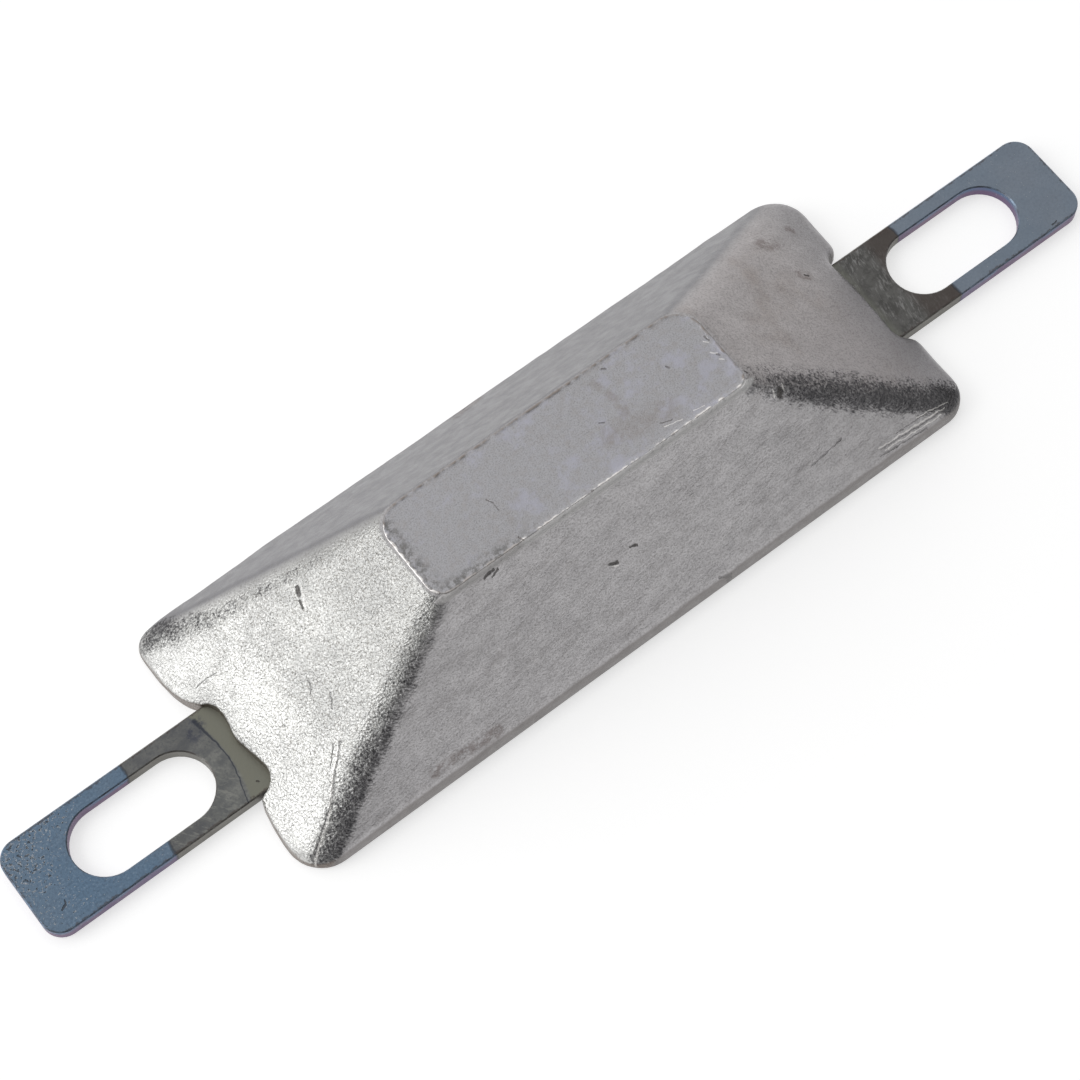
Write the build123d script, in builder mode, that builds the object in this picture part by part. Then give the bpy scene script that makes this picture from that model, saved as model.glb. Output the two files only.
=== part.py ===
from build123d import *
import os
from math import radians, tan

# Sacrificial hull anode: one aluminium casting poured round a flat steel bar.
# Lengths in millimetres, angles in degrees. +Z points away from the hull, +X runs
# along the bar, and the origin is on the hull face, in the middle of the bar.

# Fixing strap
slot_length = 36.3           # bolt slots, end to end
slot_width = 17.3
slot_side_margin = 3.85      # steel left beside a slot
slot_end_margin = 13.5       # steel left outside a slot
slot_to_casting = 4.2        # bare bar between the casting and a slot
bar_thickness = 4
bar_corner_radius = 5        # plan corners of the cut ends
bar_edge_chamfer = 0.3       # broken edges of the bar and of its slots

# Casting
casting_length = 191
casting_width = 71
casting_height = 42
casting_shift = -1.4         # how far off centre the mould held the bar
casting_sidestep = 0.2
foot_radii = {               # plan corners of the foot: left or right, far or near
    (-1, 1): 7.5,
    (-1, -1): 9,
    (1, -1): 7,
    (1, 1): 9.5,
}
bar_cover = 1.3              # metal over the bar where it comes out
wall_draft = 2.5
shoulder_radius = 5.5        # rolls the low wall into the slopes
foot_chamfer = 0.6           # broken edge of the underside

# Crown: the flat top, a low pad inside a raised rim
end_run = 52                 # plan length of an end slope, foot to crown
crown_width = 25
crown_shift = -0.6
crown_radii = {              # plan corners of the crown
    (-1, 1): 7,
    (-1, -1): 4.6,
    (1, -1): 3.6,
    (1, 1): 7.5,
}
ledge_width = 0.35           # step between the slopes and the rim
rim_step = 0.7
rim_width = 0.8
rim_height = 0.3             # how far the pad lies below the rim

# Notches where the bar leaves the casting, each between two lobes
notch_depth_left = 6.4
notch_depth_right = 5.4
notch_clearance = 0.9        # gap between the bar's edge and a lobe
notch_bulge = 0.8            # the inner edge bows out by this much
notch_inner_radius = 2.4
notch_lip_radius = 3.2       # rolls the slopes and lobes into the notch

# Sizes that follow
crown_length = casting_length - 2 * end_run
slot_pitch = casting_length + 2 * slot_to_casting + slot_length
bar_length = slot_pitch + slot_length + 2 * slot_end_margin
bar_width = slot_width + 2 * slot_side_margin
wall_height = bar_thickness + bar_cover
wall_inset = wall_height * tan(radians(wall_draft))
notch_width = bar_width + 2 * notch_clearance

base_plane = Plane((casting_shift, casting_sidestep, 0))
crown_plane = Plane((crown_shift, 0, casting_height))
tolerance = 0.001            # for telling faces and edges apart


def panel(length, width, radii, inset=0):
    """A plate outline, drawn in by the inset, whose corners each have their own radius."""
    Rectangle(length - 2 * inset, width - 2 * inset)
    for (side_x, side_y), radius in radii.items():
        corner = vertices().sort_by_distance((side_x * length, side_y * width))[0]
        fillet(corner, radius=radius - inset)


def is_notch_wall(face):
    """Upright, and within the width of a notch."""
    upright = abs(face.normal_at().Z) < tolerance
    return upright and abs(face.center().Y) < notch_width / 2 + tolerance


def upper_border(faces):
    """The edges above the underside that only one of the faces touches."""
    edges = faces.edges().filter_by(lambda edge: edge.center().Z > tolerance)
    return edges.filter_by(lambda edge: sum(edge.is_same(other) for other in edges) == 1)


# One flat bar runs the whole length, flush with the hull face, and is slotted
# at both ends for the bolts.
with BuildPart() as fixing_strap:
    with BuildSketch():
        RectangleRounded(bar_length, bar_width, bar_corner_radius)
        with GridLocations(slot_pitch, 0, 2, 1):
            SlotOverall(slot_length, slot_width, mode=Mode.SUBTRACT)
    extrude(amount=bar_thickness)
    chamfer(fixing_strap.faces().filter_by(Axis.Z).edges(), length=bar_edge_chamfer)


with BuildPart() as anode_casting:
    # Low drafted wall, then four slopes with conical hips up to the crown
    with BuildSketch(base_plane):
        panel(casting_length, casting_width, foot_radii)
    with BuildSketch(base_plane.offset(wall_height)):
        panel(casting_length, casting_width, foot_radii, inset=wall_inset)
    with BuildSketch(crown_plane.offset(-rim_step)):
        panel(crown_length, crown_width, crown_radii)
    loft(ruled=True)
    shoulder = anode_casting.edges().filter_by_position(Axis.Z, wall_height, wall_height)
    fillet(shoulder, radius=shoulder_radius)

    # Raised rim round the crown, with the pad sunk inside it
    with BuildSketch(crown_plane):
        panel(crown_length, crown_width, crown_radii, inset=ledge_width)
    extrude(amount=-rim_step)
    with BuildSketch(crown_plane):
        panel(crown_length, crown_width, crown_radii, inset=ledge_width + rim_width)
    extrude(amount=-rim_height, mode=Mode.SUBTRACT)

    # Notches that let the bar out
    with BuildSketch():
        for end, depth in ((-1, notch_depth_left), (1, notch_depth_right)):
            floor_x = casting_shift + end * (casting_length / 2 - depth)
            mouth_x = end * bar_length / 2
            with BuildLine():
                inner_edge = ThreePointArc(
                    (floor_x, -notch_width / 2),
                    (floor_x + end * notch_bulge, 0),
                    (floor_x, notch_width / 2),
                )
                Polyline(
                    inner_edge @ 1,
                    (mouth_x, notch_width / 2),
                    (mouth_x, -notch_width / 2),
                    inner_edge @ 0,
                )
            notch = make_face()
            inner_corners = notch.vertices().sort_by_distance((0, 0))[:2]
            fillet(inner_corners, radius=notch_inner_radius)
    extrude(amount=casting_height, mode=Mode.SUBTRACT)
    notch_walls = anode_casting.faces(Select.LAST).filter_by(is_notch_wall)
    fillet(upper_border(notch_walls), radius=notch_lip_radius)

    # Underside edge, and the channel that the cast metal leaves round the bar
    chamfer(anode_casting.faces().sort_by(Axis.Z)[0].edges(), length=foot_chamfer)
    add(fixing_strap.part, mode=Mode.SUBTRACT)

os.makedirs("parts", exist_ok=True)

fixing_strap.part.label = "fixing_strap"
export_step(fixing_strap.part, "parts/fixing_strap.step")

anode_casting.part.label = "anode_casting"
export_step(anode_casting.part, "parts/anode_casting.step")
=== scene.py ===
import bmesh
import bpy
from math import radians
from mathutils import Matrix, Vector


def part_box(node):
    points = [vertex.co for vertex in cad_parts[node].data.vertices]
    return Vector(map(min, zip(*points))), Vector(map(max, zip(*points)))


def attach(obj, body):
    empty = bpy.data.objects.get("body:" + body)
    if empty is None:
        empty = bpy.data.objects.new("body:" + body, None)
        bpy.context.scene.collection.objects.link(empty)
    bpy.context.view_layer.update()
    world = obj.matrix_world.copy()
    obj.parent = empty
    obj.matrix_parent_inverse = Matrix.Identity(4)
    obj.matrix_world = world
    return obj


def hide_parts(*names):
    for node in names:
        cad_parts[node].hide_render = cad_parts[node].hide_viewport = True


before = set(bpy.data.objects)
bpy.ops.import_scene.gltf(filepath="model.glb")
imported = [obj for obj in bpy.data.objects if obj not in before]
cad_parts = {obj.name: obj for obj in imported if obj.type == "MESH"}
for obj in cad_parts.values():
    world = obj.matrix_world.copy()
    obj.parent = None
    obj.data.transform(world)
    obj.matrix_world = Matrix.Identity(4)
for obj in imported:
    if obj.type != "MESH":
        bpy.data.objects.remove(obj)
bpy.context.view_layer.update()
bpy.ops.object.select_all(action="DESELECT")

mm = 0.001

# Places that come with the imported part
cast_low, cast_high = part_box("anode_casting")
bar_low, bar_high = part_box("fixing_strap")
bar_top = bar_high.z
bar_wide = bar_high.y - bar_low.y
crown_top = cast_high.z
cast_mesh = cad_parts["anode_casting"].data
rim_points = [v.co.copy() for v in cast_mesh.vertices if v.co.z > crown_top - 0.01 * mm]
rim_left, rim_right = min(p.x for p in rim_points), max(p.x for p in rim_points)
rim_near, rim_far = min(p.y for p in rim_points), max(p.y for p in rim_points)

# Crown
rim_step = 0.7 * mm         # slopes to rim
rim_wide = 0.9 * mm
rim_high = 0.3 * mm         # pad to rim
crown_corners = {           # plan radii: left or right, far or near
    (-1, 1): 6.65 * mm,
    (-1, -1): 4.25 * mm,
    (1, -1): 3.25 * mm,
    (1, 1): 7.15 * mm,
}

# Dark bands along the hips in plan, soot and painted shade together, in millimetres: the edge on
# the end's slope, the edge on the side, and how dark they are painted along x
hip_bands = {
    "near_left": (
        ((-41.0, -8.0), (-53.2, -12.7), (-64.2, -17.9), (-75.9, -22.6), (-84.5, -26.3),
         (-96.0, -31.6)),
        ((-41.0, -12.8), (-49.6, -17.5), (-59.0, -21.9), (-69.0, -26.2), (-81.5, -31.8),
         (-89.2, -35.4)),
        ((-41.0, 0.3), (-50.0, 0.5), (-62.0, 0.6), (-74.0, 0.9), (-86.0, 1.2)),
    ),
    "near_right": (
        ((41.0, -7.0), (51.1, -11.3), (66.7, -18.0), (78.1, -24.0), (92.0, -29.8)),
        ((41.0, -14.2), (51.0, -19.6), (65.0, -26.2), (75.0, -30.4), (85.0, -34.4), (91.0, -36.4)),
        ((42.0, 0.5), (52.0, 0.95), (64.0, 1.2), (90.0, 1.6)),
    ),
    "far_left": (
        ((-41.0, 8.4), (-64.0, 15.5), (-77.7, 20.9), (-84.3, 24.3), (-90.8, 28.2), (-96.9, 31.8)),
        ((-41.0, 12.8), (-64.0, 19.6), (-74.5, 24.2), (-80.5, 28.0), (-85.0, 31.6), (-91.0, 36.5)),
        ((-46.0, 0.0), (-56.0, 0.22), (-68.0, 0.25), (-77.0, 0.4), (-84.0, 0.65), (-90.0, 1.0)),
    ),
}
# The left end's line round the bar in plan, in millimetres, from the far lobe to the near one
left_notch = (
    (-96.9, 25.0), (-96.6, 21.8), (-96.2, 19.2), (-95.6, 17.0), (-94.8, 15.0), (-93.9, 13.6),
    (-93.0, 12.4), (-92.0, 11.6), (-91.3, 10.6), (-90.7, 9.2), (-90.5, 7.2), (-90.8, 4.7),
    (-91.4, 2.4), (-91.5, 0.9), (-91.15, -1.1), (-90.7, -3.9), (-90.2, -6.7), (-89.9, -9.1),
    (-90.3, -10.7), (-91.2, -11.9), (-92.4, -12.7), (-93.8, -12.9), (-95.0, -13.3),
    (-95.6, -15.4), (-96.0, -17.7), (-96.4, -19.9), (-96.7, -22.5), (-96.9, -25.0),
)
notch_back = ((-105, -25), (-105, 25))      # closes that line beyond the casting
cutter_low, cutter_high = -5 * mm, 30 * mm
shoulder_bevel = 2.8 * mm
wall_height = 5.3 * mm
crisp_edge = 1.2 * mm       # how much of the left shoulder's rounding is filled to a crisp foot
crisp_inset = 0.23 * mm     # from the left end to that foot
crisp_near, crisp_far = (-31 * mm, -25 * mm), (25 * mm, 30 * mm)    # where it fades out, along y
left_wall_drop = 2.6 * mm   # how much lower the left end's wall ran than the others
notch_sink = 0.6 * mm       # and the dip over the bar, with where it fades along x and y
sink_run, sink_near, sink_far = (60 * mm, 90 * mm), (-19 * mm, -9 * mm), (4 * mm, 15 * mm)
base_fade = 2 * mm          # where the bar's top goes over into the foot, beside the bar
far_corner = Vector((-89.4, 28.2)) * mm     # centre that the far left foot corner swells from
far_corner_swell = 0.13
swell_fade = (5 * mm, 15 * mm)

channel_gap = 0.3 * mm      # skin this near to the bar stays still

# Block that fills the left notch before its line is cut
filling_reach = 9 * mm
filling_half = 16.5 * mm
filling_high = 20 * mm

# Casting skin
skin_grain = 0.62 * mm      # size of the faces that carry the skin
foot_cut = 0.45 * mm        # where the skin is cut level for the underside
foot_spare = 2 * mm         # made longer by this before that cut
crown_grain = 0.28 * mm
crown_sunk = 1.2 * mm       # the pad's root, under the body's top
crown_lift = 9 * mm         # how far below the crown the skin starts to be drawn up to it
near_rise = 0.5 * mm        # how far it is drawn up at the near rim
rise_drop = 0.4 * mm        # and how much less than that at the far rim
under_pad = 1.0 * mm        # how far the skin sinks under the pad
under_fade = (0.1 * mm, 1.4 * mm)
rim_flow_size, rim_flow_depth = 1.6 * mm, 0.45 * mm
waves = (("slow_waves", 22 * mm, 0.55 * mm), ("lumps", 6 * mm, 0.18 * mm))

# Finish
mark_waver = 0.8 * mm       # unsteadiness of drawn marks
highlight_from, highlight_full = -21.4 * mm, -20.2 * mm   # where the crown's near rim turns bright, with its painted highlight and the painted light on the ledge under it
# Painted light under the crown's near rim: its pale tone and how much less metallic it is there
under_rim_light_tone = (0.66, 0.65, 0.645, 1)
under_rim_light_dullness = 0.85


# Small helpers for modelling

def pick(name):
    """The mesh object of this name, alone selected and active."""
    bpy.ops.object.select_all(action="DESELECT")
    piece = bpy.data.objects[name]
    piece.select_set(True)
    bpy.context.view_layer.objects.active = piece
    return piece


def select_where(piece, kind, test):
    """In edit mode, selects the faces, edges or verts that pass the test."""
    bpy.ops.mesh.select_mode(type={"verts": "VERT", "edges": "EDGE", "faces": "FACE"}[kind])
    bpy.ops.mesh.select_all(action="DESELECT")
    mesh = bmesh.from_edit_mesh(piece.data)
    for part in getattr(mesh, kind):
        if test(part):
            part.select_set(True)
    mesh.select_flush_mode()
    bmesh.update_edit_mesh(piece.data)


def apply_modifier(piece, kind, **settings):
    modifier = piece.modifiers.new(kind.lower(), kind)
    for key, value in settings.items():
        setattr(modifier, key, value)
    pick(piece.name)
    bpy.ops.object.modifier_apply(modifier=modifier.name)


def settle(piece):
    """Puts the object's place and size into its mesh."""
    pick(piece.name)
    bpy.ops.object.transform_apply(location=True, rotation=True, scale=True)


def clouds(name, size):
    texture = bpy.data.textures.new(name, "CLOUDS")
    texture.noise_scale = size
    texture.noise_depth = 2
    return texture


def weigh(piece, name, weight):
    """A vertex group with weight(co) on each vertex."""
    group = piece.vertex_groups.new(name=name)
    for vertex in piece.data.vertices:
        group.add([vertex.index], weight(vertex.co), "REPLACE")
    return group.name


def smooth(value, low, high):
    """0 at low and 1 at high, with soft ends."""
    share = min(max((value - low) / (high - low), 0.0), 1.0)
    return share * share * (3 - 2 * share)


# Casting

def casting_blank():
    """A merged copy of the cast solid, cut level below its rim and made longer at the foot."""
    mesh = cast_mesh.copy()
    mesh.materials.clear()
    body = bpy.data.objects.new("casting_body", mesh)
    bpy.context.scene.collection.objects.link(body)
    pick(body.name)
    bpy.ops.object.mode_set(mode="EDIT")
    bpy.ops.mesh.select_all(action="SELECT")
    bpy.ops.mesh.remove_doubles(threshold=0.001 * mm)
    bpy.ops.mesh.bisect(
        plane_co=(0, 0, crown_top - rim_step), plane_no=(0, 0, 1), clear_outer=True, use_fill=True
    )
    select_where(
        body, "faces", lambda f: f.normal.z < -0.9 and f.calc_center_median().z < 0.1 * mm
    )
    bpy.ops.mesh.extrude_region_move(TRANSFORM_OT_translate={"value": (0, 0, -foot_spare)})
    bpy.ops.object.mode_set(mode="OBJECT")
    return body


def fill_left_notch(body):
    """A block that fills the notch at the left end up to the slope, with the same soft shoulder."""
    foot = cast_low.x
    middle = (foot + filling_reach / 2, 0, filling_high / 2)
    bpy.ops.mesh.primitive_cube_add(size=1, location=middle)
    block = bpy.context.object
    block.name = "notch_filling"
    block.scale = (filling_reach, 2 * filling_half, filling_high)
    settle(block)
    run, rise = rim_left - foot, crown_top - rim_step - wall_height
    bpy.ops.object.mode_set(mode="EDIT")
    bpy.ops.mesh.select_all(action="SELECT")
    bpy.ops.mesh.bisect(
        plane_co=(foot, 0, wall_height), plane_no=(-rise, 0, run), clear_outer=True, use_fill=True
    )
    select_where(block, "edges", lambda e: all(
        v.co.x < foot + 0.1 * mm and abs(v.co.z - wall_height) < 0.1 * mm for v in e.verts
    ))
    bpy.ops.mesh.bevel(offset=shoulder_bevel, segments=6, affect="EDGES")
    bpy.ops.object.mode_set(mode="OBJECT")
    apply_modifier(body, "BOOLEAN", operation="UNION", object=block, solver="EXACT")
    bpy.data.objects.remove(block)


def cut_left_notch(body):
    """Cuts the left end to its wavy line round the bar."""
    line = left_notch + notch_back
    bpy.ops.mesh.primitive_circle_add(vertices=len(line), fill_type="NGON", radius=bar_wide)
    cutter = bpy.context.object
    cutter.name = "notch_cutter"
    for vertex, (x, y) in zip(cutter.data.vertices, line):
        vertex.co = (x * mm, y * mm, cutter_low)
    bpy.ops.object.mode_set(mode="EDIT")
    bpy.ops.mesh.select_all(action="SELECT")
    bpy.ops.mesh.extrude_region_move(TRANSFORM_OT_translate={"value": (0, 0, cutter_high)})
    bpy.ops.mesh.select_all(action="SELECT")
    bpy.ops.mesh.normals_make_consistent(inside=False)
    bpy.ops.object.mode_set(mode="OBJECT")
    apply_modifier(body, "BOOLEAN", operation="DIFFERENCE", object=cutter, solver="EXACT")
    bpy.data.objects.remove(cutter)


def trim_foot(body):
    """Cuts the foot level above its rounded edge, and draws the cut down to the hull."""
    pick(body.name)
    bpy.ops.object.mode_set(mode="EDIT")
    bpy.ops.mesh.select_all(action="SELECT")
    bpy.ops.mesh.bisect(
        plane_co=(0, 0, foot_cut), plane_no=(0, 0, -1), clear_outer=True, use_fill=True
    )
    bpy.ops.object.mode_set(mode="OBJECT")
    for vertex in body.data.vertices:
        if vertex.co.z < foot_cut + 0.01 * mm:
            vertex.co.z = 0


def in_channel(co):
    return abs(co.y) < bar_wide / 2 + channel_gap and co.z < bar_top + channel_gap


def open_skin(co):
    """Where the skin may move: not along the bar or on the underside."""
    if in_channel(co):
        return 0.0
    return smooth(co.z, 0.0, 1.5 * mm)


def wave_skin(body):
    """The slow waves and small lumps of a casting."""
    group = weigh(body, "open_skin", open_skin)
    for name, size, depth in waves:
        apply_modifier(
            body, "DISPLACE", texture=clouds(name, size), strength=depth, mid_level=0.5,
            texture_coords="LOCAL", vertex_group=group,
        )


def keep_in_box(piece):
    for vertex in piece.data.vertices:
        vertex.co = [min(max(vertex.co[i], cast_low[i]), cast_high[i]) for i in range(3)]


def rail_at(rail, x):
    """The second number of a line of points, at x."""
    points = sorted(rail)
    if x <= points[0][0]:
        return points[0][1]
    for (x0, y0), (x1, y1) in zip(points, points[1:]):
        if x <= x1:
            return y0 + (y1 - y0) * (x - x0) / (x1 - x0)
    return points[-1][1]


def on_hip(co):
    """How dark a point is painted, soot and painted shade together: it grows slowly from the end's
    slope and stops sharply at the side.
    """
    x, y = co.x / mm, co.y / mm
    hip_darkness = 0.0
    for end_edge, side_edge, amounts in hip_bands.values():
        if x * end_edge[1][0] > 0 and y * end_edge[1][1] > 0 and abs(x) > 40:
            from_y, to_y = rail_at(end_edge, x), rail_at(side_edge, x)
            across = (y - from_y) / (to_y - from_y)
            inside = smooth(across, -0.4, 0.7) * (1 - smooth(across, 0.72, 1.18))
            hip_darkness = max(hip_darkness, inside * rail_at(amounts, x))
    return hip_darkness


def lower_left_wall(body):
    """Runs the left slope flat to a crisp foot, and draws it down to its thin edge there."""
    edge_x, edge_z = cast_low.x + crisp_inset, wall_height
    top_x, top_z = rim_left - 0.35 * mm, crown_top - rim_step
    facing = [v.normal.z for v in body.data.vertices]
    for vertex, up in zip(body.data.vertices, facing):
        co = vertex.co
        if co.x > rim_left or in_channel(co):
            continue
        share = (top_x - co.x) / (top_x - edge_x)
        slope_z = top_z - (top_z - edge_z) * share
        flat = smooth(co.y, *crisp_near) * (1 - smooth(co.y, *crisp_far))
        if up > 0.35 and 0 < slope_z - co.z < crisp_edge and share > 0.8:
            co.z += (slope_z - co.z) * flat
        base = bar_top * (1 - smooth(abs(co.y), bar_wide / 2, bar_wide / 2 + base_fade))
        sink = smooth(-co.x, *sink_run) * (1 - smooth(co.y, *sink_far)) * smooth(co.y, *sink_near)
        drop = left_wall_drop * share + notch_sink * sink
        if co.z > base:
            co.z = base + (co.z - base) * (1 - drop / (slope_z - base))


def swell_far_corner(body):
    """Squares up the far left corner of the foot."""
    for vertex in body.data.vertices:
        away = vertex.co.xy - far_corner
        if away.x < 0 < away.y:
            diagonal = 2 * away.x * away.y / max(away.length_squared, 1e-12)
            low = 1 - smooth(vertex.co.z, *swell_fade)
            vertex.co.xy = far_corner + away * (1 + far_corner_swell * diagonal * diagonal * low)


def inside_rim(co):
    """How far a place lies inside the crown's rounded outline."""
    on_right, at_far = co.x > (rim_left + rim_right) / 2, co.y > (rim_near + rim_far) / 2
    gap_x = rim_right - co.x if on_right else co.x - rim_left
    gap_y = rim_far - co.y if at_far else co.y - rim_near
    radius = crown_corners[(1 if on_right else -1, 1 if at_far else -1)]
    if gap_x < radius and gap_y < radius:
        return radius - Vector((radius - gap_x, radius - gap_y)).length
    return min(gap_x, gap_y)


def seat_crown(body):
    """Draws the skin up round the crown's rim, most at the near side, and sinks it inside."""
    for vertex in body.data.vertices:
        co = vertex.co
        lift = smooth(co.z, crown_top - crown_lift, crown_top - rim_step - 0.2 * mm)
        if lift > 0:
            rise = near_rise - rise_drop * smooth(co.y, rim_near, rim_far)
            under = smooth(inside_rim(co), *under_fade)
            co.z += lift * (rise * (1 - under) - under_pad * under)


def mark_faces(piece):
    """Stores which way each part of the skin faces, for its finish."""
    mesh = piece.data
    shares = {
        "left_end": lambda n, co: smooth(-n.x, 0.2, 0.45),
        "right_end": lambda n, co: smooth(n.x, 0.2, 0.45),
        "near_side": lambda n, co: smooth(-n.y, 0.35, 0.7),
        "far_side": lambda n, co: smooth(n.y, 0.35, 0.7),
        "hip": lambda n, co: on_hip(co),
        "wall": lambda n, co: 1 - smooth(co.z, 3 * mm, 7 * mm),
    }
    for name, share in shares.items():
        layer = mesh.attributes.new(name, "FLOAT", "POINT")
        layer.data.foreach_set("value", [share(v.normal, v.co) for v in mesh.vertices])


def make_casting_body():
    body = casting_blank()
    fill_left_notch(body)
    cut_left_notch(body)
    apply_modifier(body, "REMESH", mode="VOXEL", voxel_size=skin_grain)
    apply_modifier(body, "SMOOTH", factor=0.5, iterations=3)
    trim_foot(body)
    mark_faces(body)
    lower_left_wall(body)
    swell_far_corner(body)
    wave_skin(body)
    seat_crown(body)
    keep_in_box(body)
    pick(body.name)
    bpy.ops.object.shade_smooth_by_angle(angle=radians(50))
    return body


def make_crown_pad():
    """The low pad inside its raised rim, let into the top of the body."""
    depth = rim_step + crown_sunk
    middle = Vector(((rim_left + rim_right) / 2, (rim_near + rim_far) / 2, crown_top - depth))
    long, wide = rim_right - rim_left, rim_far - rim_near
    bpy.ops.mesh.primitive_plane_add(size=1, location=middle)
    pad = bpy.context.object
    pad.name = "casting_crown"
    pad.scale = (long, wide, 1)
    settle(pad)
    bpy.ops.object.mode_set(mode="EDIT")
    for (side_x, side_y), radius in crown_corners.items():
        select_where(
            pad, "verts",
            lambda v: (v.co.x - middle.x) * side_x > 0.49 * long
            and (v.co.y - middle.y) * side_y > 0.49 * wide,
        )
        bpy.ops.mesh.bevel(offset=radius, segments=10, affect="VERTICES")
    bpy.ops.mesh.select_all(action="SELECT")
    bpy.ops.mesh.extrude_region_move(TRANSFORM_OT_translate={"value": (0, 0, depth)})
    bpy.ops.mesh.inset(thickness=rim_wide, depth=0)
    bpy.ops.transform.translate(value=(0, 0, -rim_high))
    bpy.ops.mesh.select_all(action="SELECT")
    bpy.ops.mesh.normals_make_consistent(inside=False)
    bpy.ops.object.mode_set(mode="OBJECT")
    apply_modifier(pad, "REMESH", mode="VOXEL", voxel_size=crown_grain)
    apply_modifier(pad, "SMOOTH", factor=0.5, iterations=3)
    rim = weigh(pad, "rim", lambda co: smooth(co.z, crown_top - 0.35 * mm, crown_top - 0.15 * mm))
    apply_modifier(
        pad, "DISPLACE", texture=clouds("rim_flow", rim_flow_size), strength=rim_flow_depth,
        mid_level=0.6, direction="Z", texture_coords="LOCAL", vertex_group=rim,
    )
    keep_in_box(pad)
    bpy.ops.object.shade_smooth()
    return pad


# Materials

def tone(red, green, blue):
    return (red, green, blue, 1)


class Finish:
    """A material and a short way to lay its nodes."""

    def __init__(self, name):
        self.material = bpy.data.materials.new(name)
        self.material.use_nodes = True
        self.tree = self.material.node_tree
        self.shader = self.tree.nodes["Principled BSDF"]
        self.place = self.lay("ShaderNodeTexCoord").outputs["Object"]
        self.x, self.y, self.z = self.axes(self.place)

    def lay(self, kind, sockets=None, **settings):
        node = self.tree.nodes.new(kind)
        for key, value in settings.items():
            setattr(node, key, value)
        for key, value in (sockets or {}).items():
            self.feed(node.inputs[key], value)
        return node

    def feed(self, socket, value):
        if isinstance(value, bpy.types.NodeSocket):
            self.tree.links.new(value, socket)
        else:
            socket.default_value = value

    def give(self, name, value):
        """Sets one of the shader's sockets."""
        self.feed(self.shader.inputs[name], value)

    def axes(self, vector):
        return self.lay("ShaderNodeSeparateXYZ", {0: vector}).outputs

    def upward(self):
        """How far the surface faces up."""
        return self.axes(self.lay("ShaderNodeNewGeometry").outputs["Normal"])[2]

    def attribute(self, name):
        return self.lay("ShaderNodeAttribute", attribute_name=name).outputs["Fac"]

    def noise(self, scale, detail, rough, at=None, distortion=0.0):
        return self.lay("ShaderNodeTexNoise", {
            "Vector": at or self.place, "Scale": scale, "Detail": detail,
            "Roughness": rough, "Distortion": distortion,
        }).outputs["Fac"]

    def patches(self, grain, low, high, to_low=0.0, to_high=1.0):
        """Patches of a noise, given as scale, detail and roughness."""
        return self.band(self.noise(*grain), low, high, to_low, to_high)

    def streaks(self, scale, turn, detail, rough, distortion=0.0):
        """Noise that is finer by scale along each axis, turned in plan."""
        stretched = self.lay("ShaderNodeMapping", {
            "Vector": self.place, "Scale": [1 / s for s in scale],
            "Rotation": (0, 0, radians(turn)),
        }, vector_type="TEXTURE").outputs[0]
        return self.noise(1, detail, rough, stretched, distortion)

    def sums(self, operation, a, b=0.0, c=0.0, clamp=False):
        sockets = {0: a, 1: b, 2: c}
        node = self.lay("ShaderNodeMath", sockets, operation=operation, use_clamp=clamp)
        return node.outputs[0]

    def both(self, a, b):
        return self.sums("MULTIPLY", a, b)

    def either(self, a, b):
        return self.sums("MAXIMUM", a, b)

    def rest(self, share):
        return self.sums("SUBTRACT", 1.0, share)

    def vector(self, operation, a, b=(0, 0, 0), output=0):
        sockets = {0: a, 1: b}
        return self.lay("ShaderNodeVectorMath", sockets, operation=operation).outputs[output]

    def band(self, value, low, high, to_low=0.0, to_high=1.0):
        return self.lay("ShaderNodeMapRange", {
            "Value": value, "From Min": low, "From Max": high, "To Min": to_low, "To Max": to_high,
        }, interpolation_type="SMOOTHSTEP").outputs[0]

    def blend(self, share, a, b):
        return self.lay("ShaderNodeMix", {0: share, 6: a, 7: b}, data_type="RGBA").outputs[2]

    def bump(self, height, depth, onto=None):
        sockets = {"Height": height, "Distance": depth, "Strength": 1.0}
        if onto is not None:
            sockets["Normal"] = onto
        return self.lay("ShaderNodeBump", sockets).outputs[0]

    def plan(self):
        """The place in plan, a little unsteady, so that marks have ragged edges."""
        noise = self.lay(
            "ShaderNodeTexNoise", {"Vector": self.place, "Scale": 700.0, "Detail": 2.0}
        ).outputs["Color"]
        waver = self.vector("SUBTRACT", noise, (0.5, 0.5, 0.5))
        waver = self.vector("MULTIPLY", waver, (mark_waver, mark_waver, 0))
        return self.vector("ADD", self.vector("MULTIPLY", self.place, (1, 1, 0)), waver)

    def stroke(self, plan, start, end, wide):
        """1 along a line drawn in plan from start to end, in millimetres."""
        start, end = Vector((*start, 0)) * mm, Vector((*end, 0)) * mm
        run = end - start
        away = self.vector("SUBTRACT", plan, start)
        reach = self.vector("DOT_PRODUCT", away, run, "Value")
        along = self.sums("DIVIDE", reach, max(run.length_squared, 1e-12), clamp=True)
        nearest = self.lay(
            "ShaderNodeVectorMath", {0: run, "Scale": along}, operation="SCALE"
        ).outputs[0]
        gap = self.vector("LENGTH", self.vector("SUBTRACT", away, nearest), output="Value")
        return self.band(gap, wide * mm, 0.35 * wide * mm)

    def marks(self, plan, strokes):
        """All of the strokes in one."""
        found = None
        for start, end, wide in strokes:
            mark = self.stroke(plan, start, end, wide)
            found = mark if found is None else self.either(found, mark)
        return found
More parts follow.
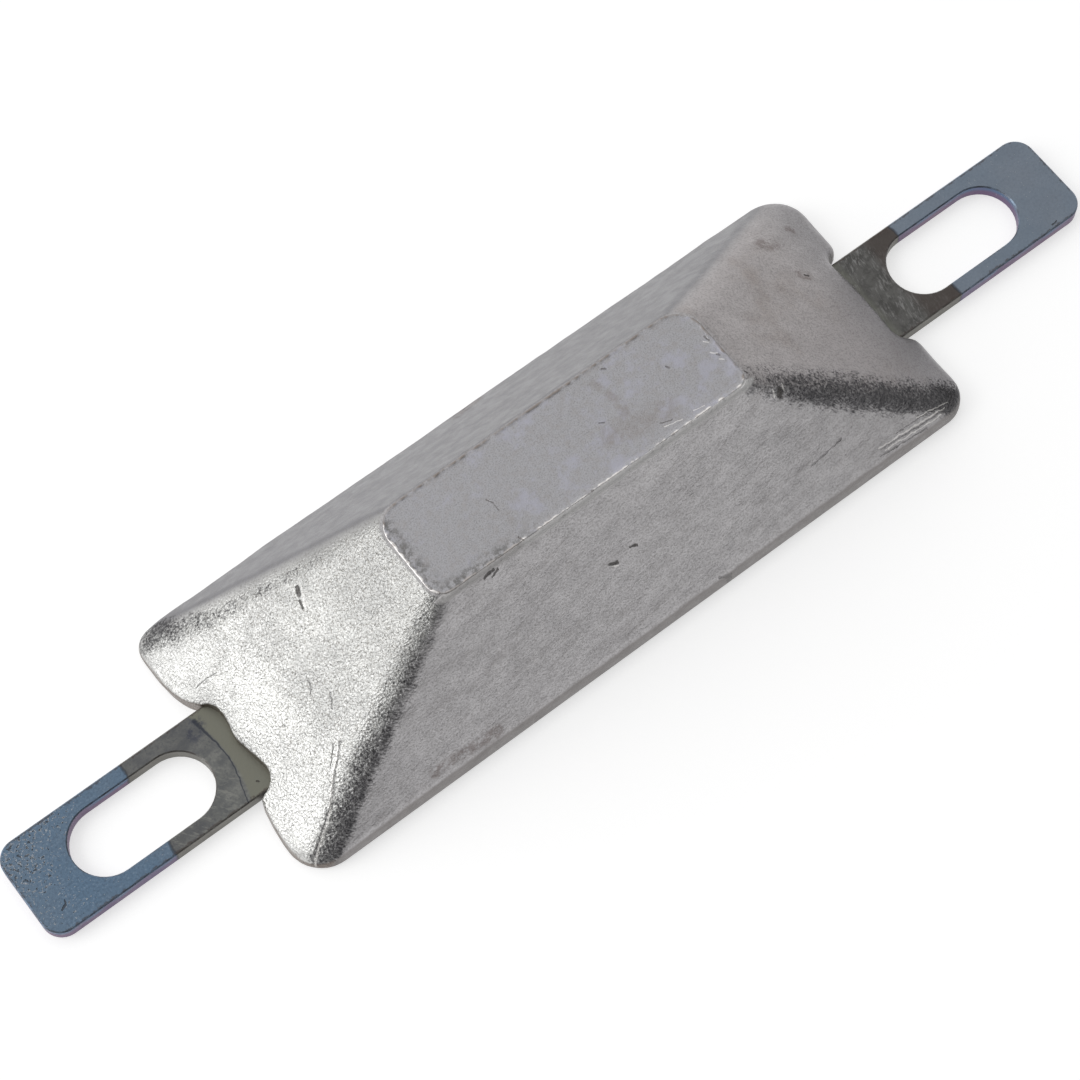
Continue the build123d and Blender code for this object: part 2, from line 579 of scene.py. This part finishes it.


# Marks on the casting in plan: start, end, half width, in millimetres
# Painted glints along scratches and in a pit
scratch_glints = (
    ((66.5, -32.7), (86.0, -33.6), 0.15),
    ((68.0, -33.6), (84.5, -34.3), 0.13),
    ((78.0, -32.3), (87.5, -32.9), 0.13),
    ((-76.3, -18.2), (-80.4, -21.6), 0.3),
    ((-80.4, -21.6), (-85.2, -26.5), 0.4),
    ((-85.2, -26.9), (-94.0, -32.3), 0.45),
    ((49.3, -16.2), (49.6, -15.0), 0.3),
    ((46.4, -16.4), (46.7, -15.2), 0.25),
    ((-4.4, -23.1), (-3.1, -23.5), 0.16),
    ((-62.3, 13.9), (-64.4, 9.6), 0.16),
)
pits = (
    ((-63.2, 14.2), (-63.9, 12.6), 0.55),
    ((-64.3, 11.6), (-65.0, 9.8), 0.32),
    ((47.9, -16.5), (48.2, -16.1), 1.1),
    ((-5.0, -22.6), (-2.8, -23.1), 0.28),
    ((1.2, -22.3), (3.0, -22.6), 0.22),
    ((-32.2, -13.4), (-29.4, -13.1), 0.26),
    ((-30.6, -13.9), (-28.6, -13.4), 0.22),
    ((78.9, 10.0), (79.8, 9.4), 0.35),
    ((-3.2, 34.2), (-1.0, 34.6), 0.3),
)
stains = (
    ((75.2, 21.4), (77.2, 20.4), 3.0),
    ((85.6, 23.4), (85.8, 22.8), 1.6),
    ((78.4, 10.4), (79.2, 9.6), 2.2),
    ((-62.0, -33.0), (-44.0, -33.6), 1.2),
    ((-6.0, 33.2), (1.0, 34.2), 2.0),
)
scratches = (
    ((67.6, -33.1), (86.7, -33.9), 0.16),
    ((66.3, -33.9), (80.0, -34.7), 0.14),
    ((72.0, -32.4), (87.0, -32.7), 0.12),
    ((49.0, -28.7), (58.6, -27.9), 0.16),
    ((18.0, -34.6), (21.3, -35.3), 0.3),
    ((-75.2, -17.6), (-79.6, -21.4), 0.25),
    ((-79.6, -21.4), (-84.5, -26.3), 0.35),
    ((-84.5, -26.3), (-94.1, -31.5), 0.4),
    ((-76.5, -16.8), (-80.0, -20.0), 0.18),
    ((-72.9, -2.4), (-73.3, -3.8), 0.2),
    ((-73.3, -3.8), (-74.1, -5.0), 0.16),
    ((-71.0, -8.2), (-71.5, -9.5), 0.22),
    ((-71.5, -9.5), (-72.6, -11.0), 0.16),
    ((-91.6, 16.1), (-89.7, 15.9), 0.16),
    ((-89.7, 15.9), (-86.3, 14.8), 0.12),
)


def slope_colour(skin):
    """The sides, duller to the right, with painted shade on the far side, and the browner right
    end.
    """
    colour = skin.blend(skin.cloudy, tone(0.475, 0.463, 0.472), tone(0.505, 0.493, 0.498))
    duller = skin.band(skin.x, 20 * mm, 90 * mm, 0, 0.6)
    colour = skin.blend(duller, colour, tone(0.355, 0.345, 0.35))
    # Painted shade: the far side is painted darker
    far = skin.blend(skin.cloudy, tone(0.245, 0.242, 0.255), tone(0.28, 0.277, 0.29))
    colour = skin.blend(skin.far_side, colour, far)

    brown = skin.patches((55, 4, 0.65), 0.48, 0.75)
    warm = skin.blend(brown, tone(0.48, 0.452, 0.452), tone(0.40, 0.36, 0.345))
    colour = skin.blend(skin.right_end, colour, warm)
    cool = skin.both(skin.band(skin.x, 74 * mm, 92 * mm), 0.7)
    colour = skin.blend(skin.both(skin.right_end, cool), colour, tone(0.335, 0.33, 0.345))

    sandy = skin.band(skin.sand, 0.44, 0.64, 0, 0.5)
    colour = skin.blend(sandy, colour, tone(0.24, 0.228, 0.225))
    flowed = skin.band(skin.flow, 0.5, 0.72, 0, 0.4)
    return skin.blend(flowed, colour, tone(0.30, 0.285, 0.285))


def left_end_colour(skin):
    """Bright, partly its own grainy finish and partly painted light, most by the foot, with small
    dark specks between its pebbles.
    """
    # Painted light: brighter towards the foot
    by_foot = skin.band(skin.x, -50 * mm, -88 * mm)
    bright = skin.blend(by_foot, tone(0.54, 0.54, 0.525), tone(0.76, 0.76, 0.74))
    dull = skin.band(skin.cloudy, 0.62, 0.4, 0, 0.5)
    bright = skin.blend(dull, bright, tone(0.38, 0.38, 0.375))
    specks = skin.patches((2400, 3, 0.6), 0.48, 0.66)
    specks = skin.both(specks, skin.band(skin.x, -94 * mm, -80 * mm, 0.3, 0.75))
    return skin.blend(specks, bright, tone(0.20, 0.188, 0.17))


def hips_sooted_and_shaded(skin, colour):
    """Soot and painted shade on the hips: it fills the hollows first, and runs out in hairs down
    the sides.
    """
    hairs = skin.streaks((800, 3400, 800), -38, 2, 0.5)
    hairy = skin.both(skin.sums("SUBTRACT", hairs, skin.pebble), 0.75)
    hollows = skin.sums("MULTIPLY_ADD", skin.near_side, hairy, skin.pebble)
    patchy = skin.patches((240, 3, 0.6), 0.3, 0.7, -0.09, 0.09)
    level = skin.sums("ADD", skin.band(skin.hip, 0, 1.3, 0.32, 0.66), patchy)
    darkened = skin.band(skin.sums("SUBTRACT", level, hollows), -0.2, 0.15)
    darkened = skin.both(darkened, skin.band(skin.hip, 0.02, 0.25))
    darkened = skin.both(darkened, skin.patches((1600, 3, 0.65), 0.42, 0.64, 0.98, 0.68))
    # Soot and painted shade: the hips are painted near black, darkest by the right foot
    colour = skin.blend(darkened, colour, tone(0.062, 0.060, 0.064))
    by_foot = skin.both(darkened, skin.band(skin.x, 84 * mm, 90 * mm))
    colour = skin.blend(skin.both(by_foot, 0.85), colour, tone(0.024, 0.022, 0.024))
    return skin.blend(skin.both(skin.hip, 0.12), colour, tone(0.20, 0.197, 0.20))


def wall_toned(skin, colour):
    """The upright wall of the foot, darkened as painted shade, and browner at the left end."""
    upright = skin.both(skin.band(skin.upward(), 0.5, 0.25), skin.band(skin.z, 12 * mm, 9 * mm))
    brown = skin.blend(skin.left_end, tone(0.222, 0.207, 0.202), tone(0.19, 0.155, 0.135))
    # Painted shade on the upright wall
    return skin.blend(skin.both(upright, 0.85), colour, brown)


def pale_lit_ledge(skin):
    """Where the ledge under the crown's near rim is painted pale and dull, as painted light."""
    ledge = skin.both(
        skin.band(skin.z, crown_top - 1.7 * mm, crown_top - 1.0 * mm),
        skin.band(skin.y, rim_near + 1 * mm, rim_near + 0.5 * mm),
    )
    return skin.both(ledge, skin.patches((650, 3, 0.75), 0.34, 0.46, 0.6, 1))


def cast_relief(skin, dark, lines):
    """Pebbles on the left end and the hips, sand and flow on the rest, and the marks cut in."""
    grainy = skin.both(skin.either(skin.left_end, skin.hip), 0.9)
    grainy = skin.sums("ADD", grainy, skin.both(skin.wall, 0.5), clamp=True)
    pebbles = skin.both(skin.pebble, skin.band(grainy, 0, 1, 0.15, 1))
    normal = skin.bump(pebbles, skin.band(skin.hip, 0, 0.6, 0.30 * mm, 0.6 * mm))
    fine = skin.both(skin.noise(3200, 2, 0.5), skin.band(grainy, 0, 1, 0.5, 1))
    normal = skin.bump(fine, 0.07 * mm, normal)
    normal = skin.bump(skin.sand, skin.band(grainy, 0, 1, 0.09 * mm, 0.0), normal)
    normal = skin.bump(skin.flow, 0.12 * mm, normal)
    cut = skin.either(dark, skin.both(lines, 0.6))
    return skin.bump(skin.rest(cut), 0.25 * mm, normal)


def cast_aluminium():
    skin = Finish("cast_aluminium")
    for name in ("left_end", "right_end", "near_side", "far_side", "hip", "wall"):
        setattr(skin, name, skin.attribute(name))
    skin.pebble = skin.noise(1700, 2, 0.5, distortion=0.4)
    skin.sand = skin.noise(2000, 3, 0.65)
    skin.cloudy = skin.noise(45, 4, 0.6)
    skin.flow = skin.both(skin.near_side, skin.streaks((70, 750, 70), 6, 4, 0.65))

    # The left end is painted brighter than the sides, partly as painted light
    colour = skin.blend(skin.left_end, slope_colour(skin), left_end_colour(skin))
    colour = wall_toned(skin, hips_sooted_and_shaded(skin, colour))
    # Painted light: the ledge under the crown's near rim is painted pale and less metallic
    ledge = pale_lit_ledge(skin)
    to_right = skin.band(skin.x, highlight_from, highlight_full)
    ledge_light = skin.blend(to_right, tone(0.56, 0.545, 0.54), under_rim_light_tone)
    colour = skin.blend(ledge, colour, ledge_light)

    plan = skin.plan()
    dark, lines = skin.marks(plan, pits), skin.marks(plan, scratches)
    stained = skin.patches((520, 4, 0.75), 0.36, 0.58, 0, 0.55)
    stained = skin.both(skin.marks(plan, stains), stained)
    glints = skin.marks(plan, scratch_glints)
    colour = skin.blend(stained, colour, tone(0.15, 0.115, 0.105))
    colour = skin.blend(skin.both(dark, 0.85), colour, tone(0.06, 0.055, 0.052))
    colour = skin.blend(skin.both(lines, 0.5), colour, tone(0.12, 0.115, 0.115))
    colour = skin.blend(skin.both(glints, 0.55), colour, tone(0.85, 0.83, 0.80))

    rough = skin.patches((300, 3, 0.6), 0.3, 0.7, 0.36, 0.48)
    skin.give("Base Color", colour)
    skin.give("Metallic", skin.rest(skin.both(ledge, under_rim_light_dullness)))
    skin.give("Roughness", skin.sums("SUBTRACT", rough, skin.both(skin.left_end, 0.1)))
    skin.give("Normal", cast_relief(skin, dark, lines))
    return skin.material


# Marks on the crown in plan: start, end, half width, in millimetres
crown_marks = (
    ((-21.0, 0.5), (-20.3, -1.2), 0.22),
    ((-20.4, -1.6), (-20.5, -3.2), 0.14),
    ((18.2, 10.0), (18.8, 9.5), 0.3),
    ((29.8, 1.9), (30.2, 1.2), 0.26),
    ((9.6, 0.0), (10.6, -0.6), 0.22),
    ((-20.9, -11.0), (-20.3, -12.6), 0.32),
    ((-1.7, -11.9), (-0.8, -12.5), 0.32),
    ((41.2, 2.4), (41.6, 1.2), 0.26),
    ((40.6, -2.5), (41.2, -3.2), 0.22),
    ((20.2, -8.2), (23.0, -9.0), 0.12),
)
crown_glints = (
    ((40.2, 1.7), (41.0, 0.9), 0.22),
    ((39.7, -1.5), (40.9, -2.5), 0.22),
    ((40.4, -3.8), (41.2, -4.5), 0.2),
    ((20.4, -9.4), (24.6, -10.4), 0.16),
    ((28.0, -10.2), (30.6, -10.7), 0.14),
)
crown_stains = (
    ((14.4, 8.4), (15.4, 4.8), 1.4),
    ((15.4, 4.8), (16.2, 1.6), 1.3),
    ((16.2, 1.6), (15.4, -2.4), 1.8),
    ((10.0, -4.0), (24.0, -6.4), 4.0),
)


def pad_colour(pad, plan):
    """The clouded, sandy face, darker by its left rim, and a brown stain across it."""
    colour = pad.blend(pad.cloudy, tone(0.415, 0.414, 0.44), tone(0.475, 0.47, 0.48))
    brown = pad.patches((40, 5, 0.7), 0.55, 0.75)
    colour = pad.blend(pad.both(brown, 0.35), colour, tone(0.29, 0.26, 0.24))
    sandy = pad.band(pad.sand, 0.46, 0.66, 0, 0.6)
    colour = pad.blend(sandy, colour, tone(0.25, 0.24, 0.245))
    mottled = pad.patches((480, 4, 0.7), 0.45, 0.68, 0, 0.4)
    colour = pad.blend(mottled, colour, tone(0.37, 0.345, 0.335))
    violet = pad.patches((130, 4, 0.7), 0.5, 0.68, 0, 0.7)
    colour = pad.blend(violet, colour, tone(0.47, 0.47, 0.54))

    by_left = pad.band(pad.x, rim_left + 5 * mm, rim_left + 1 * mm)
    by_near = pad.band(pad.y, rim_near + 4 * mm, rim_near + 1 * mm)
    by_near = pad.both(by_near, pad.band(pad.x, -10 * mm, -30 * mm))
    darkened = pad.both(pad.either(by_left, by_near), pad.patches((620, 4, 0.75), 0.42, 0.60))
    colour = pad.blend(pad.both(darkened, 0.7), colour, tone(0.12, 0.115, 0.105))
    stained = pad.both(pad.marks(plan, crown_stains), pad.patches((300, 4, 0.7), 0.35, 0.6, 0, 0.3))
    return pad.blend(stained, colour, tone(0.24, 0.195, 0.165))


def painted_rim_highlight(pad):
    """The near and left edges and some nicks at the right, where a highlight is painted on the rim.
    """
    by_left = pad.band(pad.x, rim_left + 1.6 * mm, rim_left + 1.1 * mm)
    by_near = pad.band(pad.y, rim_near + 1.6 * mm, rim_near + 1.1 * mm)
    by_near = pad.both(by_near, pad.band(pad.x, highlight_from, highlight_full, 0.35, 1))
    by_right = pad.band(pad.x, rim_right - 3 * mm, rim_right - 1.5 * mm)
    nicks = pad.both(pad.patches((600, 2, 0.6), 0.58, 0.66), by_right)
    highlit = pad.either(pad.either(by_left, by_near), nicks)
    return pad.both(highlit, pad.patches((650, 3, 0.75), 0.36, 0.46, 0.45, 1))


def crown_aluminium():
    """The pad runs smoother and a little bluer than the slopes, inside a bright rim."""
    pad = Finish("crown_aluminium")
    pad.cloudy = pad.noise(70, 4, 0.6)
    pad.sand = pad.noise(2900, 3, 0.65)
    plan = pad.plan()
    lines = pad.marks(plan, crown_marks)
    colour = pad_colour(pad, plan)
    colour = pad.blend(pad.both(lines, 0.5), colour, tone(0.14, 0.12, 0.11))

    # The rim is brown except where a highlight is painted on it, and its outer wall at the near
    # side is painted pale and less metallic, as painted light
    upward = pad.upward()
    on_rim = pad.band(pad.z, crown_top - 0.26 * mm, crown_top - 0.12 * mm)
    on_rim = pad.either(on_rim, pad.band(upward, 0.95, 0.8))
    highlit = painted_rim_highlight(pad)
    rim = pad.blend(highlit, tone(0.32, 0.285, 0.265), tone(0.88, 0.85, 0.83))
    near = pad.band(pad.y, rim_near + 3 * mm, rim_near + 2 * mm)
    outer = pad.both(pad.band(upward, 0.62, 0.35), near)
    rim = pad.blend(outer, rim, under_rim_light_tone)
    colour = pad.blend(on_rim, colour, rim)
    cut = pad.both(pad.both(lines, on_rim), 0.6)
    colour = pad.blend(cut, colour, tone(0.12, 0.10, 0.09))
    glints = pad.both(pad.marks(plan, crown_glints), 0.65)
    colour = pad.blend(glints, colour, tone(0.9, 0.88, 0.86))

    rough = pad.band(pad.cloudy, 0.3, 0.7, 0.38, 0.48)
    pad.give("Base Color", colour)
    pad.give("Metallic", pad.rest(pad.both(outer, under_rim_light_dullness)))
    pad.give("Roughness", pad.sums("SUBTRACT", rough, pad.both(highlit, 0.15)))
    pad.give("Normal", pad.bump(pad.rest(lines), 0.1 * mm, pad.bump(pad.sand, 0.07 * mm)))
    return pad.material


# Marks on the bar in plan: the arc where the casting's heat stained it, and pits
stain_arc = (
    ((-96.3, 10.6), (-96.0, 8.6), 0.7),
    ((-96.0, 8.6), (-95.6, 5.6), 0.45),
    ((-95.6, 5.6), (-95.1, 2.0), 0.3),
    ((-95.1, 2.0), (-95.0, -1.2), 0.24),
    ((-95.0, -1.2), (-95.5, -4.4), 0.24),
    ((-95.5, -4.4), (-96.6, -8.4), 0.24),
    ((-96.6, -8.4), (-97.7, -12.3), 0.2),
)
arc_smudge = (((-98.5, 8.0), (-96.2, 9.6), 2.6),)
bar_pits = (
    ((-145.0, 8.6), (-144.8, 8.0), 0.3),
    ((-146.6, 2.8), (-146.4, 2.4), 0.3),
    ((-144.0, -7.6), (-142.8, -7.0), 0.35),
    ((-142.8, -7.0), (-142.4, -6.2), 0.25),
    ((139.5, -11.5), (141.0, -11.3), 0.25),
    ((-93.4, -9.3), (-92.9, -9.7), 0.22),
)


def past_plate_line(bar):
    """How far out a place lies from the slanted, wavering line where the blue plate starts."""
    waver = bar.patches((250, 3, 0.6), 0, 1, -0.6 * mm, 0.6 * mm)
    left = bar.sums("MULTIPLY_ADD", bar.y, 0.067, -116.3 * mm)
    right = bar.sums("MULTIPLY_ADD", bar.y, -0.087, 108.9 * mm)
    past_left = bar.sums("SUBTRACT", left, bar.x)
    past_right = bar.sums("SUBTRACT", bar.x, right)
    return bar.sums("ADD", bar.either(past_left, past_right), waver)


def blue_plate(bar):
    """Grained blue, paler at the right, with walls that run from violet to blue."""
    drift = bar.noise(60, 3, 0.6)
    blue = bar.blend(drift, tone(0.104, 0.180, 0.275), tone(0.160, 0.205, 0.258))
    paler = bar.blend(drift, tone(0.165, 0.215, 0.275), tone(0.225, 0.25, 0.29))
    blue = bar.blend(bar.at_right, blue, paler)
    grainy = bar.band(bar.at_right, 0, 1, 1, 0.35)
    hollows = bar.both(bar.band(bar.grain, 0.46, 0.66, 0, 0.4), grainy)
    blue = bar.blend(hollows, blue, tone(0.075, 0.10, 0.14))
    tops = bar.both(bar.band(bar.grain, 0.44, 0.30, 0, 0.6), grainy)
    blue = bar.blend(tops, blue, tone(0.24, 0.30, 0.38))
    violet = bar.blend(bar.noise(45, 2, 0.5), tone(0.11, 0.12, 0.25), tone(0.24, 0.115, 0.16))
    # Painted light: the upper part of the walls is painted blue, standing in for light on the
    # rounded top edge
    upper = bar.band(bar.z, bar_high.z - 2.2 * mm, bar_high.z - 0.8 * mm)
    upper = bar.both(upper, bar.patches((90, 2, 0.5), 0.35, 0.6))
    violet = bar.blend(upper, violet, tone(0.11, 0.17, 0.28))
    return bar.blend(bar.side, blue, violet)


def flaked_plate(bar, blue):
    """Plate with flakes off it, most at the far corner of the left end, and where they are."""
    worn_end = bar.either(
        bar.both(
            bar.band(bar.x, -132 * mm, -144 * mm), bar.band(bar.y, -6 * mm, 4 * mm, 0.45, 1)
        ),
        bar.both(bar.band(bar.x, -124 * mm, -136 * mm), bar.band(bar.y, 4 * mm, 11 * mm)),
    )
    flakes = bar.noise(1300, 3, 0.7)
    flaked = bar.band(bar.sums("MULTIPLY_ADD", worn_end, 0.14, flakes), 0.71, 0.76)
    glinting = bar.band(bar.sums("MULTIPLY_ADD", worn_end, 0.15, flakes), 0.64, 0.69)
    glinting = bar.both(glinting, bar.band(bar.grain, 0.49, 0.56))
    blue = bar.blend(bar.both(glinting, 0.7), blue, tone(0.5, 0.52, 0.54))
    return bar.blend(bar.both(flaked, 0.75), blue, tone(0.05, 0.045, 0.045)), flaked


def left_root(bar):
    """Mottled and scuffed bare steel, clean and pale from the stained arc to the casting."""
    mottle = bar.either(bar.patches((420, 4, 0.7), 0.38, 0.64), bar.band(bar.grain, 0.48, 0.64))
    steel = bar.band(bar.blotch, 0.35, 0.65)
    steel = bar.blend(steel, tone(0.165, 0.168, 0.16), tone(0.245, 0.247, 0.23))
    shaded = bar.either(
        bar.band(bar.y, -2 * mm, 9 * mm), bar.band(bar.x, -103 * mm, -110 * mm)
    )
    steel = bar.blend(bar.both(shaded, 0.45), steel, tone(0.085, 0.085, 0.092))
    steel = bar.blend(bar.both(mottle, 0.42), steel, tone(0.07, 0.075, 0.09))
    scuffed = bar.band(bar.streaks((260, 900, 260), -50, 4, 0.7), 0.52, 0.62)
    scuffed = bar.both(scuffed, bar.band(bar.y, 2 * mm, -6 * mm))
    steel = bar.blend(bar.both(scuffed, 0.4), steel, tone(0.30, 0.30, 0.27))

    arc_x = bar.sums("MULTIPLY_ADD", bar.both(bar.y, bar.y), -13.0, -94.9 * mm)
    clean = bar.band(bar.sums("SUBTRACT", bar.x, arc_x), -0.3 * mm, 0.5 * mm)
    clean = bar.both(clean, bar.band(bar.x, -60 * mm, -70 * mm))
    pale = bar.blend(bar.blotch, tone(0.183, 0.185, 0.158), tone(0.215, 0.213, 0.172))
    return bar.blend(clean, steel, pale)


def right_root(bar):
    """Steel brushed in curves, with a pale fringe by the casting that is a painted reflection of
    it, and a brown edge by the slot.
    """
    worn = bar.both(bar.band(bar.brushed, 0.46, 0.68), bar.patches((170, 4, 0.65), 0.38, 0.60))
    steel = bar.patches((260, 4, 0.7), 0.4, 0.62)
    steel = bar.blend(steel, tone(0.125, 0.123, 0.118), tone(0.085, 0.083, 0.08))
    steel = bar.blend(worn, steel, tone(0.235, 0.232, 0.228))
    # Painted reflection of the casting: a pale fringe on the steel beside it
    by_casting = bar.both(bar.band(bar.x, 93 * mm, 90 * mm), bar.band(bar.blotch, 0.3, 0.5))
    steel = bar.blend(by_casting, steel, tone(0.165, 0.168, 0.145))
    by_slot = bar.band(bar.x, 98.5 * mm, 102 * mm)
    return bar.blend(bar.both(by_slot, 0.75), steel, tone(0.08, 0.066, 0.06))


def edges_highlit_and_worn(bar, colour):
    """Chamfers with a painted highlight, and broken and ragged in patches."""
    chamfer = bar.both(bar.band(bar.facing, 0.98, 0.9), bar.band(bar.facing, 0.3, 0.5))
    # Painted highlight on the chamfers
    lighter = bar.blend(bar.plated, tone(0.34, 0.33, 0.31), tone(0.27, 0.37, 0.50))
    colour = bar.blend(bar.both(chamfer, 0.5), colour, lighter)
    gap_y = bar.sums("SUBTRACT", bar_wide / 2, bar.sums("ABSOLUTE", bar.y))
    gap_x = bar.sums("SUBTRACT", bar_high.x, bar.sums("ABSOLUTE", bar.x))
    gap = bar.sums("MINIMUM", gap_y, gap_x)
    gap = bar.sums("MULTIPLY_ADD", bar.noise(700, 3, 0.7), -2.6 * mm, gap)
    ragged = bar.both(bar.band(gap, -0.65 * mm, -1.0 * mm), bar.band(bar.facing, 0.9, 0.98))
    broken = bar.both(chamfer, bar.patches((240, 4, 0.7), 0.40, 0.6, 0.1, 1))
    broken = bar.either(broken, ragged)
    return bar.blend(bar.both(broken, 0.6), colour, tone(0.075, 0.058, 0.052))


def plated_steel():
    """Blue plate at the ends, bare steel by the casting, with the heat's stains between them."""
    bar = Finish("plated_steel")
    plan = bar.plan()
    past = past_plate_line(bar)
    bar.plated = bar.band(past, -0.2 * mm, 0.2 * mm)
    bar.facing = bar.upward()
    bar.side = bar.band(bar.facing, 0.5, 0.3)
    bar.at_right = bar.band(bar.x, -10 * mm, 10 * mm)
    bar.grain = bar.noise(1500, 3, 0.65)
    bar.blotch = bar.noise(160, 4, 0.65)
    bar.brushed = bar.streaks((520, 1900, 520), 78, 4, 0.65, distortion=0.7)

    blue, flaked = flaked_plate(bar, blue_plate(bar))
    bare = bar.blend(bar.at_right, left_root(bar), right_root(bar))
    bare = bar.blend(bar.side, bare, tone(0.165, 0.158, 0.14))
    colour = bar.blend(bar.plated, bare, blue)
    tide_line = bar.band(bar.sums("ABSOLUTE", past), 0.5 * mm, 0.1 * mm)
    colour = bar.blend(bar.both(tide_line, 0.6), colour, tone(0.035, 0.04, 0.05))
    colour = edges_highlit_and_worn(bar, colour)

    lines, holes = bar.marks(plan, stain_arc), bar.marks(plan, bar_pits)
    smudge = bar.both(bar.patches((520, 4, 0.7), 0.42, 0.6), bar.marks(plan, arc_smudge))
    colour = bar.blend(bar.both(smudge, 0.7), colour, tone(0.055, 0.06, 0.085))
    colour = bar.blend(bar.both(lines, 0.75), colour, tone(0.035, 0.04, 0.055))
    colour = bar.blend(bar.both(holes, 0.7), colour, tone(0.05, 0.045, 0.045))

    scored = bar.both(bar.brushed, bar.both(bar.at_right, bar.rest(bar.plated)))
    sunk = bar.either(holes, bar.both(flaked, bar.plated))
    normal = bar.bump(scored, 0.03 * mm, bar.bump(bar.grain, 0.05 * mm))
    bar.give("Base Color", colour)
    bar.give("Metallic", 0.9)
    bar.give("Roughness", bar.band(bar.blotch, 0.3, 0.7, 0.36, 0.46))
    bar.give("Normal", bar.bump(bar.rest(sunk), 0.1 * mm, normal))
    return bar.material


# Stage

camera_eye = Vector((-168.574, -210.831, 636.476)) * mm
camera_aim = Vector((-7.07, -0.32, 0)) * mm
camera_lens, camera_sensor = 99.48, 36
floor_size, floor_gap = 12, 0.05 * mm
lamp_toward, lamp_distance = (-0.785, 0.305, 0.538), 1.2
lamp_size, lamp_power = (1.0, 1.0), 5.5
room_toward = Vector((0, 0.7, 0.7))         # the bright part of the room
room_dim, room_bright, horizon_bright = 0.12, 0.9, 0.6


def place_camera():
    eye, aim = camera_eye, camera_aim
    lens = bpy.data.cameras.new("camera")
    lens.lens = camera_lens
    lens.sensor_width = camera_sensor
    lens.clip_start, lens.clip_end = 0.01, 20
    camera = bpy.data.objects.new("camera", lens)
    camera.location = eye
    camera.rotation_euler = (aim - eye).to_track_quat("-Z", "Y").to_euler()
    bpy.context.scene.collection.objects.link(camera)
    bpy.context.scene.camera = camera


def floor_paint():
    """White paint that the camera, a mirror and glass see at full white, with the shadow kept."""
    finish = Finish("floor_paint")
    path = finish.lay("ShaderNodeLightPath")
    seen = path.outputs["Is Camera Ray"]
    for name in ("Is Glossy Ray", "Is Transmission Ray"):
        seen = finish.sums("ADD", seen, path.outputs[name], clamp=True)
    finish.give("Base Color", tone(0.62, 0.62, 0.62))
    finish.give("Roughness", 0.9)
    finish.give("Specular IOR Level", 0.0)
    finish.give("Emission Color", tone(1, 1, 1))
    finish.give("Emission Strength", finish.both(seen, 0.58))
    return finish.material


def lay_floor():
    bpy.ops.mesh.primitive_plane_add(size=floor_size, location=(0, 0, -floor_gap))
    floor = bpy.context.object
    floor.name = "floor"
    floor.data.materials.append(floor_paint())


def aim_lamp():
    """A soft square lamp that faces the anode."""
    lamp = bpy.data.lights.new("key", "AREA")
    lamp.shape = "RECTANGLE"
    lamp.size, lamp.size_y = lamp_size
    lamp.energy = lamp_power
    stand = bpy.data.objects.new("key", lamp)
    away = Vector(lamp_toward).normalized()
    stand.location = away * lamp_distance
    stand.rotation_euler = (-away).to_track_quat("-Z", "Y").to_euler()
    bpy.context.scene.collection.objects.link(stand)


def room_node(kind, tree, operation=None, **sockets):
    node = tree.nodes.new(kind)
    if kind == "ShaderNodeMapRange":
        node.interpolation_type = "SMOOTHSTEP"
    if operation:
        node.operation = operation
    for name, value in sockets.items():
        node.inputs[name.replace("_", " ")].default_value = value
    return node


def light_room():
    """A bright ceiling and back wall, and a dim front."""
    world = bpy.data.worlds.new("room")
    bpy.context.scene.world = world
    world.use_nodes = True
    tree = world.node_tree
    direction = tree.nodes.new("ShaderNodeTexCoord").outputs["Generated"]
    facing = room_node("ShaderNodeVectorMath", tree, "DOT_PRODUCT")
    facing.inputs[1].default_value = room_toward
    spread = room_node(
        "ShaderNodeMapRange", tree, From_Min=0.0, From_Max=0.9, To_Min=room_dim, To_Max=room_bright
    )
    height = room_node("ShaderNodeSeparateXYZ", tree)
    horizon = room_node(
        "ShaderNodeMapRange", tree, From_Min=0.30, From_Max=0.05, To_Max=horizon_bright
    )
    brighter = room_node("ShaderNodeMath", tree, "MAXIMUM")
    background = tree.nodes["Background"]
    background.inputs["Color"].default_value = (1, 1, 1, 1)
    for source, socket in (
        (direction, facing.inputs[0]),
        (facing.outputs["Value"], spread.inputs["Value"]),
        (direction, height.inputs[0]),
        (height.outputs["Z"], horizon.inputs["Value"]),
        (spread.outputs[0], brighter.inputs[0]),
        (horizon.outputs[0], brighter.inputs[1]),
        (brighter.outputs[0], background.inputs["Strength"]),
    ):
        tree.links.new(source, socket)
    aim_lamp()


bpy.context.scene.view_settings.view_transform = "Standard"
place_camera()
lay_floor()
light_room()

aluminium = cast_aluminium()
steel = plated_steel()

body = make_casting_body()
body.data.materials.append(aluminium)
crown = make_crown_pad()
crown.data.materials.append(crown_aluminium())
for piece in (body, crown):
    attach(piece, "root")
    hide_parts("anode_casting")

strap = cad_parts["fixing_strap"]
strap.data.materials.clear()
strap.data.materials.append(steel)
